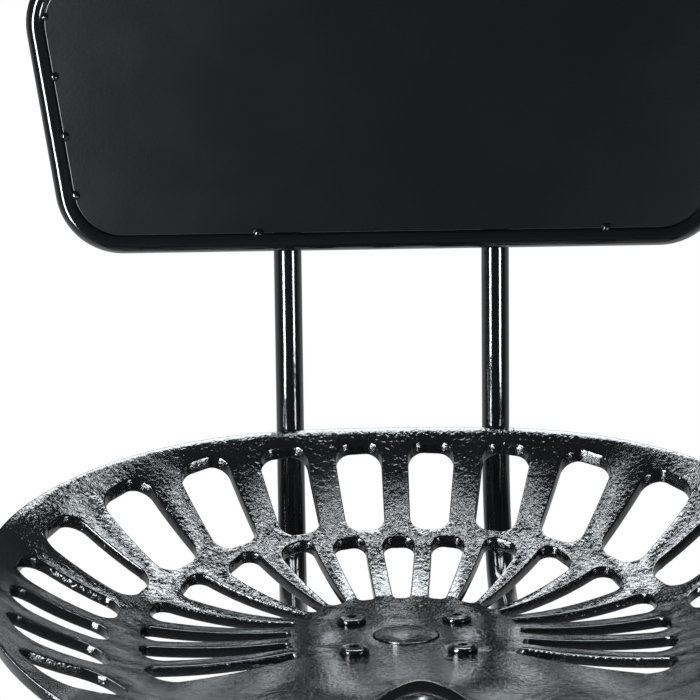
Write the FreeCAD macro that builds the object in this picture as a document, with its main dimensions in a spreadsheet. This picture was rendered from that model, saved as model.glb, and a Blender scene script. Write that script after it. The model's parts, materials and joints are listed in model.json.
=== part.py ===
import FreeCAD, Part
import math
import os
import Sketcher
from FreeCAD import Vector

# Tractor seat stool: millimetres, Z up, origin on the floor under the spindle, backrest towards +Y.

SIZES = [
    ("seat_level", 620, "floor to the top of the seat's centre plate, seat wound right down"),
    ("seat_half_width", 212, "seat centre to the side rim"),
    ("seat_rear_reach", 162.5, "seat centre to the rear rim"),
    ("seat_front_bulge", 280, "how slowly the sides draw in towards the front"),
    ("seat_front_lobe", 201, "seat centre to the front edge under the thighs"),
    ("seat_front_middle", 166, "seat centre to the front edge at the pommel"),
    ("outline_power", 2.4, "squareness of the seat's outline"),
    ("lobe_outside", 0.74, "share of the half width where the front edge leaves the side"),
    ("lobe_middle", 0.52, "share of the half width at the front of a thigh lobe"),
    ("pommel_outside", 0.3, "share of the half width where a thigh lobe turns in"),
    ("pommel_side", 0.13, "share of the half width beside the pommel"),
    ("pommel_round", 4, "how far the front edge bows out beside the pommel"),
    ("rear_rim_height", 72.5, "rear rim above the centre plate"),
    ("side_rim_height", 46, "side rim above the centre plate"),
    ("rear_wall_start", 0.244, "share of the reach where the rear wall starts to rise"),
    ("side_wall_start", 0.456, "share of the reach where the side wall starts to rise"),
    ("rear_wall_power", 1.62, "how sharply the rear wall turns up"),
    ("side_wall_power", 2.04, "how sharply the side wall turns up"),
    ("wall_blend", 4.4, "how closely the side wall's shape keeps to the sides"),
    ("pommel_height", 27, "pommel above the centre plate at the front edge"),
    ("pommel_width", 32, "half width of the pommel"),
    ("pommel_start", 60, "seat centre to the foot of the pommel"),
    ("casting_wall", 5.5, "thickness of the cast seat"),
    ("rim_width", 5, "width of the thicker rim"),
    ("rim_rise", 1.4, "how far the rim stands above and below the casting"),
    ("surface_margin", 15, "how far the dish's surface runs on past the rim"),
    ("slot_pitch", 15, "angle between slots, degrees"),
    ("outer_slot_pairs", 9, "outer slots on each side"),
    ("inner_slot_pairs", 8, "inner slots on each side of the middle one"),
    ("outer_slot_start", 0.66, "share of the reach where the rear outer slots start"),
    ("outer_slot_creep", 0.038, "share that an outer slot at the side starts further out"),
    ("outer_slot_end", 0.948, "share of the reach where the rear outer slots end"),
    ("outer_slot_short", 0.02, "share that an outer slot at the side ends further in"),
    ("outer_slot_swing", 5.5, "turn of an outer slot's inner end towards the side, degrees"),
    ("outer_near_width", 0.7, "share of the pitch that an outer slot takes at its inner end"),
    ("outer_far_width", 0.63, "share of the pitch that an outer slot takes at its outer end"),
    ("inner_slot_start", 58.5, "seat centre to the start of an inner slot"),
    ("inner_pad_corner", 5.5, "how much further out the slots start at the corners of the centre pad"),
    ("inner_slot_crowd", 3.3, "turn of the inner slots' starts towards those corners, degrees"),
    ("inner_slot_swing", 5, "turn of the side slots' starts towards the rear, degrees"),
    ("inner_slot_end", 0.63, "share of the reach where an inner slot ends"),
    ("inner_near_width", 0.55, "share of the pitch that an inner slot takes at its start"),
    ("inner_far_width", 0.67, "share of the pitch that an inner slot takes at its end"),
    ("slot_near_round", 0.75, "corner radius as a share of the half width, at a slot's inner end"),
    ("slot_far_round", 0.65, "corner radius as a share of the half width, at a slot's outer end"),
    ("bolt_spacing", 54, "distance between seat bolts, square"),
    ("bolt_diameter", 8, "seat bolt"),
    ("bolt_hole", 9, "hole for a seat bolt"),
    ("bolt_head_diameter", 15, "low round head"),
    ("bolt_head_height", 2.6, "low round head"),
    ("bolt_socket", 5, "hexagon socket across flats"),
    ("bolt_end_spare", 2.5, "bolt beyond its nut"),
    ("washer_diameter", 16, "washer under the plate"),
    ("washer_thickness", 1.6, "washer under the plate"),
    ("nut_flats", 13, "nut across flats"),
    ("nut_height", 6.5, "nut"),
    ("plate_depth", 96, "mounting plate, front to back"),
    ("plate_thickness", 8, "mounting plate"),
    ("plate_corner", 20, "corner radius of the mounting plate"),
    ("spindle_diameter", 32, "screw spindle over the thread"),
    ("spindle_proud", 0.6, "spindle end above the seat's plate"),
    ("spindle_gap", 0.5, "gap round the spindle in the seat"),
    ("thread_pitch", 6, "rise of the seat for one turn"),
    ("seat_travel", 150, "rise of the seat from lowest to highest"),
    ("journal_diameter", 20, "turned end of the spindle that carries the guide bush"),
    ("running_clearance", 0.05, "radial clearance of running fits"),
    ("end_clearance", 0.3, "clearance of a bush along its journal"),
    ("column_diameter", 50, "column tube outside"),
    ("column_wall", 3, "column tube wall"),
    ("column_top_gap", 10, "lowest nut to the top of the column"),
    ("thread_nut_length", 60, "threaded nut in the top of the column"),
    ("thread_nut_flange", 5, "flange of the threaded nut"),
    ("guide_length", 30, "guide bush"),
    ("top_spare", 5, "guide bush to threaded nut with the seat at its highest"),
    ("stop_washer_diameter", 36, "stop washer under the guide bush"),
    ("stop_washer_thickness", 3, "stop washer under the guide bush"),
    ("stop_bolt_diameter", 12, "bolt in the end of the spindle"),
    ("stop_bolt_flats", 18, "stop bolt head across flats"),
    ("stop_bolt_head", 7.5, "stop bolt head"),
    ("stop_bolt_depth", 35, "stop bolt in the spindle"),
    ("column_foot_room", 20, "room under the stop bolt inside the column"),
    ("column_cap_wall", 3, "cap in the foot of the column"),
    ("column_cap_depth", 12, "cap in the foot of the column"),
    ("hub_diameter", 150, "leg hub at its foot"),
    ("hub_top_diameter", 118, "leg hub at its top"),
    ("hub_height", 46, "leg hub"),
    ("hub_lip", 20, "straight edge at the foot of the leg hub"),
    ("leg_diameter", 25, "leg tube outside"),
    ("leg_wall", 2, "leg tube wall"),
    ("leg_top_radius", 41, "leg axis from the middle, at the socket's end"),
    ("leg_foot_radius", 262, "leg axis from the middle, at the floor"),
    ("leg_socket_depth", 34, "how far a leg goes into the hub"),
    ("leg_socket_gap", 0.1, "radial clearance of a leg in its socket"),
    ("glide_base", 5, "rubber under the end of the leg"),
    ("glide_wall", 3, "rubber round the leg"),
    ("glide_height", 34, "glide up the leg"),
    ("ring_bar", 16, "foot ring bar"),
    ("ring_level", 250, "foot ring above the floor"),
    ("weld_leg", 4, "size of the fillet welds"),
    ("weld_gap", 0.1, "gap between round bars that a weld joins"),
    ("post_diameter", 15, "backrest post outside"),
    ("post_wall", 2, "backrest post wall"),
    ("post_spacing", 112.4, "distance between the posts"),
    ("post_bend", 74, "bend radius of the posts on the axis"),
    ("post_rim_gap", 0.3, "post to the rear rim"),
    ("post_seat_gap", 0.3, "post to the underside of the seat"),
    ("backrest_rise", 170.5, "seat plate to the bottom of the backrest"),
    ("backrest_height", 160, "backrest over its frame"),
    ("backrest_half_top", 193, "half width of the backrest at its widest"),
    ("backrest_taper", 8.4, "lean of the backrest's sides, degrees"),
    ("backrest_corner", 36, "outside corner radius of the backrest"),
    ("backrest_bar", 10, "frame bar"),
    ("panel_thickness", 2, "sheet panel"),
    ("panel_gap", 0.2, "panel edge to frame bar"),
    ("tack_pitch", 32, "distance between tack welds up the sides"),
    ("tack_spread", 115, "tack welds along the foot and the top, to the middle"),
    ("tack_offset", 25, "how far those on the left are nearer the middle"),
    ("tack_size", 4, "tack weld"),
    ("plug_depth", 14, "plug in a post's end"),
    ("plug_head", 2.5, "plug outside a post's end"),
]

doc = FreeCAD.newDocument("tractor_seat_stool")
sheet = doc.addObject("Spreadsheet::Sheet", "Sizes")
for row, (name, value, meaning) in enumerate(SIZES, start=1):
    sheet.set("A%d" % row, meaning)
    sheet.set("B%d" % row, str(value))
    sheet.setAlias("B%d" % row, name)
doc.recompute()

parts = []
derived = []


def size(name):
    return float(sheet.get(name))


def derive(name, formula):
    """Add a cell whose value follows from the cells above it."""
    row = len(SIZES) + len(derived) + 1
    sheet.set("B%d" % row, "=" + formula)
    sheet.setAlias("B%d" % row, name)
    doc.recompute()
    derived.append(name)


def cells(formula):
    """Turn words that are cell names into references to the sheet."""
    words = []
    word = ""
    for letter in formula + " ":
        if letter.isalnum() or letter == "_":
            word += letter
            continue
        words.append("Sizes." + word if word in names else word)
        words.append(letter)
        word = ""
    return "".join(words).strip()


def bind(thing, **formulas):
    for name, formula in formulas.items():
        thing.setExpression(name.replace("__", "."), cells(formula))


def place(thing, x="0", y="0", z="0"):
    bind(thing, Placement__Base__x=x, Placement__Base__y=y, Placement__Base__z=z)


# Levels and places that follow from the sizes
derive("seat_underside", "seat_level - casting_wall")
derive("plate_underside", "seat_underside - plate_thickness")
derive("nut_underside", "plate_underside - washer_thickness - nut_height")
derive("bolt_end", "nut_underside - bolt_end_spare")
derive("column_top", "bolt_end - column_top_gap - thread_nut_flange")
derive("thread_nut_foot", "column_top - thread_nut_length")
derive("guide_top", "thread_nut_foot - top_spare - seat_travel")
derive("guide_foot", "guide_top - guide_length")
derive("journal_end", "guide_foot - end_clearance")
derive("stop_washer_foot", "journal_end - stop_washer_thickness")
derive("stop_bolt_foot", "stop_washer_foot - stop_bolt_head")
derive("column_foot", "stop_bolt_foot - column_foot_room")
derive("column_bore", "column_diameter - 2 * column_wall")
derive("hub_foot", "column_top - hub_height")
derive("post_x", "post_spacing / 2")
derive("post_run_level", "seat_underside - post_seat_gap - post_diameter / 2")
derive("post_end_y", "0 - plate_depth / 2")
derive("rim_power", "1 / outline_power")
derive("rim_y", "seat_rear_reach * (1 - (post_x / seat_half_width) ^ outline_power) ^ rim_power")
derive("post_y", "rim_y + post_rim_gap + post_diameter / 2")
derive("plate_width", "post_spacing - post_diameter")
derive("backrest_y", "post_y - post_diameter / 2 - backrest_bar / 2 - weld_gap")
derive("backrest_foot", "seat_level + backrest_rise")
derive("backrest_top", "backrest_foot + backrest_height")
derive("corner_top_z", "backrest_top - backrest_corner")
derive("corner_foot_z", "backrest_foot + backrest_corner")
derive("corner_top_x", "backrest_half_top - backrest_corner")
derive("corner_foot_x", "corner_top_x - (corner_top_z - corner_foot_z) * tan(backrest_taper * 1deg)")
derive("leg_top_level", "hub_foot + leg_socket_depth")
derive("leg_slope", "(leg_foot_radius - leg_top_radius) / leg_top_level")
derive("leg_lean", "atan(leg_slope) / 1deg")
derive("leg_foot_level", "glide_base + leg_diameter / 2 * sin(leg_lean * 1deg)")
derive("leg_length", "(leg_top_level - leg_foot_level) / cos(leg_lean * 1deg)")
derive("leg_foot_run", "leg_foot_radius - leg_foot_level * leg_slope")
derive("ring_offset", "((leg_diameter + ring_bar) / 2 + weld_gap) / cos(leg_lean * 1deg)")
derive("ring_radius", "leg_foot_radius - ring_level * leg_slope + ring_offset")
names = set(entry[0] for entry in SIZES) | set(derived)


def number(formula):
    return float(sheet.evalExpression(cells(formula)))


def finish(thing, label):
    thing.Label = label
    parts.append((label, thing))


# Part primitives and booleans bound to the sheet

def cylinder(radius, height, x="0", y="0", z="0"):
    rod = doc.addObject("Part::Cylinder", "rod")
    bind(rod, Radius=radius, Height=height)
    place(rod, x, y, z)
    return rod


def prism(flats, height, x="0", y="0", z="0"):
    block = doc.addObject("Part::Prism", "hexagon")
    block.Polygon = 6
    bind(block, Circumradius="(%s) / 2 / cos(30deg)" % flats, Height=height)
    place(block, x, y, z)
    return block


def box(length, width, height, x="0", y="0", z="0"):
    block = doc.addObject("Part::Box", "block")
    bind(block, Length=length, Width=width, Height=height)
    place(block, x, y, z)
    return block


def ball(radius, x, y, z):
    sphere = doc.addObject("Part::Sphere", "ball")
    bind(sphere, Radius=radius)
    place(sphere, x, y, z)
    return sphere


def cut(base, tool):
    result = doc.addObject("Part::Cut", "cut")
    result.Base = base
    result.Tool = tool
    return result


def fuse(things):
    result = doc.addObject("Part::MultiFuse", "fuse")
    result.Shapes = things
    return result


def group(things):
    result = doc.addObject("Part::Compound", "group")
    result.Links = things
    return result


# Bodies, sketches and features bound to the sheet

def new_body(name):
    return doc.addObject("PartDesign::Body", name)


def sketch_on(body, role, name="outline"):
    sketch = body.newObject("Sketcher::SketchObject", name)
    for feature in body.Origin.OriginFeatures:
        if feature.Role == role:
            sketch.AttachmentSupport = [(feature, "")]
    sketch.MapMode = "FlatFace"
    return sketch


def pin(sketch, geometry, position, x, y):
    """Hold a point of the sketch at a place given by formulas."""
    for direction, formula in (("DistanceX", x), ("DistanceY", y)):
        value = number(formula)
        index = sketch.addConstraint(
            Sketcher.Constraint(direction, -1, 1, geometry, position, value))
        sketch.setExpression("Constraints[%d]" % index, cells(formula))


def polygon(sketch, corners):
    places = [Vector(number(x), number(y), 0) for x, y in corners]
    first = sketch.GeometryCount
    count = len(corners)
    for i in range(count):
        sketch.addGeometry(Part.LineSegment(places[i], places[(i + 1) % count]), False)
    for i in range(count):
        sketch.addConstraint(
            Sketcher.Constraint("Coincident", first + i, 2, first + (i + 1) % count, 1))
    for i, (x, y) in enumerate(corners):
        pin(sketch, first + i, 1, x, y)


def circle(sketch, radius, x="0", y="0"):
    middle = Vector(number(x), number(y), 0)
    index = sketch.addGeometry(Part.Circle(middle, Vector(0, 0, 1), number(radius)), False)
    pin(sketch, index, 3, x, y)
    row = sketch.addConstraint(Sketcher.Constraint("Radius", index, number(radius)))
    sketch.setExpression("Constraints[%d]" % row, cells(radius))


def rounded(sketch, corners, radius):
    """Draw a closed outline of lines and equal corner arcs round the given corner centres."""
    centres = [Vector(number(x), number(y), 0) for x, y in corners]
    reach = number(radius)
    count = len(corners)
    normals = []
    for i in range(count):
        along = (centres[(i + 1) % count] - centres[i]).normalize()
        normals.append(Vector(along.y, -along.x, 0))
    lines = []
    arcs = []
    for i in range(count):
        start = centres[i] + normals[i] * reach
        end = centres[(i + 1) % count] + normals[i] * reach
        lines.append(sketch.addGeometry(Part.LineSegment(start, end), False))
    for i in range(count):
        before, after = normals[i - 1], normals[i]
        start = math.atan2(before.y, before.x)
        end = math.atan2(after.y, after.x)
        corner = Part.Circle(centres[i], Vector(0, 0, 1), reach)
        arcs.append(sketch.addGeometry(Part.ArcOfCircle(corner, start, end), False))
    for i in range(count):
        sketch.addConstraint(Sketcher.Constraint("Tangent", lines[i - 1], 2, arcs[i], 1))
        sketch.addConstraint(Sketcher.Constraint("Tangent", arcs[i], 2, lines[i], 1))
    for i, (x, y) in enumerate(corners):
        pin(sketch, arcs[i], 3, x, y)
    row = sketch.addConstraint(Sketcher.Constraint("Radius", arcs[0], reach))
    sketch.setExpression("Constraints[%d]" % row, cells(radius))
    for i in range(1, count):
        sketch.addConstraint(Sketcher.Constraint("Equal", arcs[0], arcs[i]))


def pad(body, sketch, length, both_ways=False):
    feature = body.newObject("PartDesign::Pad", "pad")
    feature.Profile = sketch
    bind(feature, Length=length)
    if both_ways:
        feature.Midplane = True
    sketch.Visibility = False
    return feature


def revolved(name, profile):
    """Turn a profile of (radius, height) corners about the Z axis."""
    body = new_body(name)
    sketch = sketch_on(body, "XZ_Plane")
    polygon(sketch, profile)
    turn = body.newObject("PartDesign::Revolution", "turn")
    turn.Profile = sketch
    turn.ReferenceAxis = (sketch, ["V_Axis"])
    turn.Angle = 360
    return body


# Seat casting: a dish with two rings of slots, a thicker rim and a raised pommel

def reach_share(x, y):
    """How far out a place lies, from 0 at the middle to 1 at the rim."""
    depth = size("seat_rear_reach") if y > 0 else size("seat_front_bulge")
    power = size("outline_power")
    return (abs(x / size("seat_half_width")) ** power + abs(y / depth) ** power) ** (1 / power)


def dish_height(x, y):
    """Height of the seat's upper face above its flat centre."""
    distance = math.hypot(x, y)
    if distance == 0:
        return 0.0
    sideways = abs(x) / distance
    if y > 0:
        side = sideways ** size("wall_blend")
        wall = size("side_rim_height") * side + size("rear_rim_height") * (1 - side)
        start = size("side_wall_start") * side + size("rear_wall_start") * (1 - side)
        power = size("side_wall_power") * side + size("rear_wall_power") * (1 - side)
    else:
        wall = size("side_rim_height") * (1 - (y / distance) ** 4)
        start = size("side_wall_start")
        power = size("side_wall_power")
    climb = max(0.0, (reach_share(x, y) - start) / (1 - start))
    height = wall * climb ** power
    run = (-y - size("pommel_start")) / (size("seat_front_middle") - size("pommel_start"))
    ridge = math.exp(-(x / size("pommel_width")) ** 2)
    return height + size("pommel_height") * ridge * max(0.0, run) ** 1.5


def steepness(x, y):
    """Length of the upper face's normal for a unit of height."""
    step = 0.5
    slope_x = (dish_height(x + step, y) - dish_height(x - step, y)) / (2 * step)
    slope_y = (dish_height(x, y + step) - dish_height(x, y - step)) / (2 * step)
    return math.sqrt(1 + slope_x ** 2 + slope_y ** 2)


def dish_surface(depth):
    """Smooth surface over the whole seat, sunk below the upper face along its normal."""
    margin = size("surface_margin")
    side = size("seat_half_width") + margin
    front = -size("seat_front_lobe") - margin
    rear = size("seat_rear_reach") + margin
    columns, rows = 21, 19
    grid = []
    for i in range(columns):
        x = -side + 2 * side * i / (columns - 1)
        line = []
        for j in range(rows):
            y = front + (rear - front) * j / (rows - 1)
            height = size("seat_level") + dish_height(x, y) - depth * steepness(x, y)
            line.append(Vector(x, y, height))
        grid.append(line)
    surface = Part.BSplineSurface()
    surface.interpolate(grid)
    return surface


class Dish:
    """Upper or lower face of the casting: lifts plan curves onto its surface."""

    def __init__(self, depth):
        self.surface = dish_surface(depth)

    def height(self, point):
        upright = Part.Line(Vector(point.x, point.y, 0), Vector(point.x, point.y, 1))
        return self.surface.intersect(upright)[0][0].Z

    def edge(self, points, closed=False):
        lifted = [Vector(point.x, point.y, self.height(point)) for point in points]
        curve = Part.BSplineCurve()
        curve.interpolate(lifted, PeriodicFlag=closed)
        return curve.toShape()


def reach_point(angle, share):
    """Place at a share of the seat's reach, at an angle from the rear."""
    direction = Vector(math.sin(angle), math.cos(angle), 0)
    return direction * (share / reach_share(direction.x, direction.y))


def outline_points():
    """Places round the seat's rim: rear and sides by formula, then the thigh lobes and pommel."""
    half = []
    for degrees in (0, 12, 24, 36, 48, 60, 73, 87, 101, 115, 128):
        half.append(reach_point(math.radians(degrees), 1))
    side = size("seat_half_width")
    lobe = size("seat_front_lobe")
    middle = size("seat_front_middle")
    bow = size("pommel_round")
    half.append(Vector(side * size("lobe_outside"), -lobe * 0.95, 0))
    half.append(Vector(side * size("lobe_middle"), -lobe, 0))
    half.append(Vector(side * size("pommel_outside"), -(lobe + middle) / 2 - bow, 0))
    half.append(Vector(side * size("pommel_side"), -middle - bow, 0))
    half.append(Vector(0, -middle, 0))
    return half + [Vector(-point.x, point.y, 0) for point in half[-2:0:-1]]


def rim_curve(places, inset):
    """Plan places on the rim's curve, moved inwards by a distance."""
    curve = Part.BSplineCurve()
    curve.interpolate(places, PeriodicFlag=True)
    moved = []
    for place in places:
        tangent = curve.tangent(curve.parameter(place))[0]
        inward = Vector(tangent.y, -tangent.x, 0)
        moved.append(place + inward * inset)
    return moved


def rim_skin(upper, lower):
    """Rounded bead round the edge, from the upper face over the rim to the lower face."""
    width, rise, wall = size("rim_width"), size("rim_rise"), size("casting_wall")
    half = wall / 2 + rise
    places = outline_points()
    rings = [(1, None, upper)]
    for degrees in (115, 45, -45, -115):
        around = math.radians(degrees)
        rings.append((0.5 - 0.5 * math.cos(around), math.sin(around) * half, None))
    rings.append((1, None, lower))
    wires = []
    for share, lift, face in rings:
        moved = rim_curve(places, share * width)
        if face:
            wires.append(Part.Wire([face.edge(moved, True)]))
            continue
        points = []
        for place in moved:
            middle = (upper.height(place) + lower.height(place)) / 2
            points.append(Vector(place.x, place.y, middle + lift))
        curve = Part.BSplineCurve()
        curve.interpolate(points, PeriodicFlag=True)
        wires.append(Part.Wire([curve.toShape()]))
    return wires[0], wires[-1], Part.makeLoft(wires, False, True).Faces


def arc_places(start, middle, end, count):
    curve = Part.Arc(start, middle, end)
    first, last = curve.FirstParameter, curve.LastParameter
    return [curve.value(first + (last - first) * i / (count - 1)) for i in range(count)]


def heading(angle):
    return Vector(math.sin(angle), math.cos(angle), 0)


def rounded_corner(before, corner, after, radius):
    """Four places along the arc that rounds off a corner."""
    back = (before - corner).normalize()
    on = (after - corner).normalize()
    half = back.getAngle(on) / 2
    inwards = (back + on).normalize()
    reach = radius / math.tan(half)
    depth = radius / math.sin(half) - radius
    return arc_places(corner + back * reach, corner + inwards * depth, corner + on * reach, 4)


def slot_sides(near, far, near_half, far_half):
    """Tapered slot between two places: four straight sides with rounded corners."""
    along = (far - near).normalize()
    across = Vector(along.y, -along.x, 0)
    corners = [
        (near - across * near_half, near_half * size("slot_near_round")),
        (near + across * near_half, near_half * size("slot_near_round")),
        (far + across * far_half, far_half * size("slot_far_round")),
        (far - across * far_half, far_half * size("slot_far_round")),
    ]
    arcs = []
    for i, (corner, radius) in enumerate(corners):
        arcs.append(rounded_corner(corners[i - 1][0], corner, corners[(i + 1) % 4][0], radius))
    sides = []
    for i, arc in enumerate(arcs):
        following = arcs[(i + 1) % 4]
        sides += [arc, [arc[-1], (arc[-1] + following[0]) / 2, following[0]]]
    return sides


def outer_slot(index):
    """Slot in the wall, its inner end turned towards the side between the rear and the sides."""
    angle = (index + 0.5) * math.radians(size("slot_pitch"))
    half_pitch = math.tan(math.radians(size("slot_pitch") / 2))
    turn = math.sin(2 * angle) * abs(math.cos(angle)) if abs(angle) < math.pi / 2 else 0
    start_share = size("outer_slot_start") + size("outer_slot_creep") * (2 * angle / math.pi) ** 2
    end_share = size("outer_slot_end") - size("outer_slot_short") * math.sin(angle) ** 2
    near = reach_point(angle + math.radians(size("outer_slot_swing")) * turn, start_share)
    far = reach_point(angle, end_share)
    near_half = size("outer_near_width") * half_pitch * near.Length
    far_half = size("outer_far_width") * half_pitch * far.Length
    return slot_sides(near, far, near_half, far_half)


def inner_slot(index):
    """Slot between the flat and the wall, starting on the edge of a squarish centre pad."""
    angle = index * math.radians(size("slot_pitch"))
    half_pitch = math.tan(math.radians(size("slot_pitch") / 2))
    start = size("inner_slot_start") + size("inner_pad_corner") * math.sin(2 * angle) ** 2
    crowd = math.radians(size("inner_slot_crowd")) * math.sin(4 * angle)
    swing = math.radians(size("inner_slot_swing")) * math.sin(angle) * abs(math.sin(angle))
    near = heading(angle + crowd - swing) * start
    far = reach_point(angle, size("inner_slot_end"))
    near_half = size("inner_near_width") * half_pitch * start
    far_half = size("inner_far_width") * half_pitch * far.Length
    return slot_sides(near, far, near_half, far_half)


def round_sides(x, y, radius):
    middle = Vector(x, y, 0)
    right, left = middle + Vector(radius, 0, 0), middle - Vector(radius, 0, 0)
    up, down = middle + Vector(0, radius, 0), middle - Vector(0, radius, 0)
    return [arc_places(right, up, left, 5), arc_places(left, down, right, 5)]


def openings():
    """Both rings of slots, half a pitch out of step, the spindle's bore and the bolt holes."""
    holes = []
    outer = int(size("outer_slot_pairs"))
    inner = int(size("inner_slot_pairs"))
    for index in range(-outer, outer):
        holes.append(outer_slot(index))
    for index in range(-inner, inner + 1):
        holes.append(inner_slot(index))
    holes.append(round_sides(0, 0, size("spindle_diameter") / 2 + size("spindle_gap")))
    for x, y in bolt_places():
        holes.append(round_sides(number(x), number(y), size("bolt_hole") / 2))
    return holes


def bolt_places():
    half = "bolt_spacing / 2"
    return [(sx + half, sy + half) for sx in ("", "0 - ") for sy in ("", "0 - ")]


def seat_shape():
    upper = Dish(0)
    lower = Dish(size("casting_wall"))
    upper_rim, lower_rim, skins = rim_skin(upper, lower)
    upper_wires, lower_wires = [upper_rim], [lower_rim]
    for sides in openings():
        tops = [upper.edge(points) for points in sides]
        feet = [lower.edge(points) for points in sides]
        upper_wires.append(Part.Wire(tops))
        lower_wires.append(Part.Wire(feet))
        for top, foot in zip(tops, feet):
            skins.append(Part.makeRuledSurface(top, foot))
    for dish, wires in ((upper, upper_wires), (lower, lower_wires)):
        face = Part.Face(dish.surface, wires[0])
        face.validate()
        face.cutHoles(wires[1:])
        face.validate()
        skins.append(face)
    skin = Part.makeCompound(skins)
    skin.sewShape(0.01)
    return Part.makeSolid(Part.makeShell(skin.Faces))


seat = doc.addObject("Part::Feature", "seat")
seat.Shape = seat_shape()
finish(seat, "seat_casting")


# Seat bolts, washers and nuts

def round_head_bolt(x, y):
    """Low round head with a hexagon socket, over a plain shank."""
    brim = cylinder("bolt_head_diameter / 2", "bolt_head_height * 0.35", x, y, "seat_level")
    crown = doc.addObject("Part::Cone", "crown")
    bind(crown, Radius1="bolt_head_diameter / 2", Radius2="bolt_socket", Height="bolt_head_height * 0.65")
    place(crown, x, y, "seat_level + bolt_head_height * 0.35")
    shank = cylinder("bolt_diameter / 2", "seat_level - bolt_end", x, y, "bolt_end")
    socket = prism("bolt_socket", "bolt_head_height", x, y, "seat_level + bolt_head_height * 0.35")
    return cut(fuse([brim, crown, shank]), socket)


def washer(x, y):
    disc = cylinder("washer_diameter / 2", "washer_thickness", x, y, "plate_underside - washer_thickness")
    return cut(disc, cylinder("bolt_diameter / 2", "washer_thickness", x, y, "plate_underside - washer_thickness"))


def nut(x, y):
    block = prism("nut_flats", "nut_height", x, y, "nut_underside")
    return cut(block, cylinder("bolt_diameter / 2", "nut_height", x, y, "nut_underside"))


finish(group([round_head_bolt(x, y) for x, y in bolt_places()]), "seat_bolts")
finish(group([washer(x, y) for x, y in bolt_places()]), "seat_washers")
finish(group([nut(x, y) for x, y in bolt_places()]), "seat_nuts")


# Mounting plate, welded to the spindle and the posts

plate = new_body("plate")
outline = sketch_on(plate, "XY_Plane")
corner_x = "plate_width / 2 - plate_corner"
corner_y = "plate_depth / 2 - plate_corner"
rounded(outline, [
    ("0 - (%s)" % corner_x, "0 - (%s)" % corner_y),
    (corner_x, "0 - (%s)" % corner_y),
    (corner_x, corner_y),
    ("0 - (%s)" % corner_x, corner_y),
], "plate_corner")
circle(outline, "spindle_diameter / 2")
for x, y in bolt_places():
    circle(outline, "bolt_hole / 2", x, y)
pad(plate, outline, "plate_thickness")
place(plate, z="plate_underside")
finish(plate, "mounting_plate")


# Spindle with its journal, stop washer and stop bolt

spindle = revolved("spindle_body", [
    ("stop_bolt_diameter / 2", "journal_end"),
    ("journal_diameter / 2", "journal_end"),
    ("journal_diameter / 2", "guide_top"),
    ("spindle_diameter / 2", "guide_top"),
    ("spindle_diameter / 2", "seat_level + spindle_proud - 1"),
    ("spindle_diameter / 2 - 1", "seat_level + spindle_proud"),
    ("0", "seat_level + spindle_proud"),
    ("0", "journal_end + stop_bolt_depth"),
    ("stop_bolt_diameter / 2", "journal_end + stop_bolt_depth"),
])
finish(spindle, "spindle")
stop_washer = revolved("stop_washer_body", [
    ("stop_bolt_diameter / 2", "stop_washer_foot"),
    ("stop_washer_diameter / 2", "stop_washer_foot"),
    ("stop_washer_diameter / 2", "journal_end"),
    ("stop_bolt_diameter / 2", "journal_end"),
])
finish(stop_washer, "spindle_stop_washer")
stop_head = prism("stop_bolt_flats", "stop_bolt_head", z="stop_bolt_foot")
stop_shank = cylinder("stop_bolt_diameter / 2", "stop_washer_thickness + stop_bolt_depth", z="stop_washer_foot")
finish(fuse([stop_head, stop_shank]), "spindle_stop_bolt")
guide = revolved("guide_body", [
    ("journal_diameter / 2 + running_clearance", "guide_foot"),
    ("column_bore / 2 - running_clearance", "guide_foot"),
    ("column_bore / 2 - running_clearance", "guide_top"),
    ("journal_diameter / 2 + running_clearance", "guide_top"),
])
finish(guide, "guide_bush")


# Column tube, threaded nut in its top and cap in its foot

column = revolved("column_body", [
    ("column_bore / 2", "column_foot"),
    ("column_diameter / 2", "column_foot"),
    ("column_diameter / 2", "column_top"),
    ("column_bore / 2", "column_top"),
])
finish(column, "column_tube")
thread_nut = revolved("thread_nut_body", [
    ("spindle_diameter / 2 + running_clearance", "thread_nut_foot"),
    ("column_bore / 2", "thread_nut_foot"),
    ("column_bore / 2", "column_top"),
    ("column_diameter / 2 + thread_nut_flange", "column_top"),
    ("column_diameter / 2 + thread_nut_flange", "column_top + thread_nut_flange - 1"),
    ("column_diameter / 2 + thread_nut_flange - 1", "column_top + thread_nut_flange"),
    ("spindle_diameter / 2 + running_clearance", "column_top + thread_nut_flange"),
])
finish(thread_nut, "threaded_nut")
column_cap = revolved("column_cap_body", [
    ("0", "column_foot - column_cap_wall"),
    ("column_diameter / 2 - 1", "column_foot - column_cap_wall"),
    ("column_diameter / 2", "column_foot - column_cap_wall + 1"),
    ("column_diameter / 2", "column_foot"),
    ("column_bore / 2", "column_foot"),
    ("column_bore / 2", "column_foot + column_cap_depth"),
    ("column_bore / 2 - column_cap_wall", "column_foot + column_cap_depth"),
    ("column_bore / 2 - column_cap_wall", "column_foot"),
    ("0", "column_foot"),
])
finish(column_cap, "column_cap")


# Leg hub with four leaning sockets, legs and glides

LEGS = [("front_right", -45), ("rear_right", 45), ("rear_left", 135), ("front_left", 225)]


def lean_out(thing, heading, run, level):
    """Stand a piece that was built up the Z axis along a leg's axis."""
    direction = FreeCAD.Rotation(Vector(0, 0, 1), heading)
    tilt = FreeCAD.Rotation(Vector(0, 1, 0), -size("leg_lean"))
    turned = direction.multiply(tilt)
    thing.Placement = FreeCAD.Placement(Vector(0, 0, 0), turned)
    thing.setExpression("Placement.Rotation.Angle", None)
    across = "cos(%s * 1deg)" % heading
    along = "sin(%s * 1deg)" % heading
    place(thing, "(%s) * %s" % (run, across), "(%s) * %s" % (run, along), level)


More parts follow.
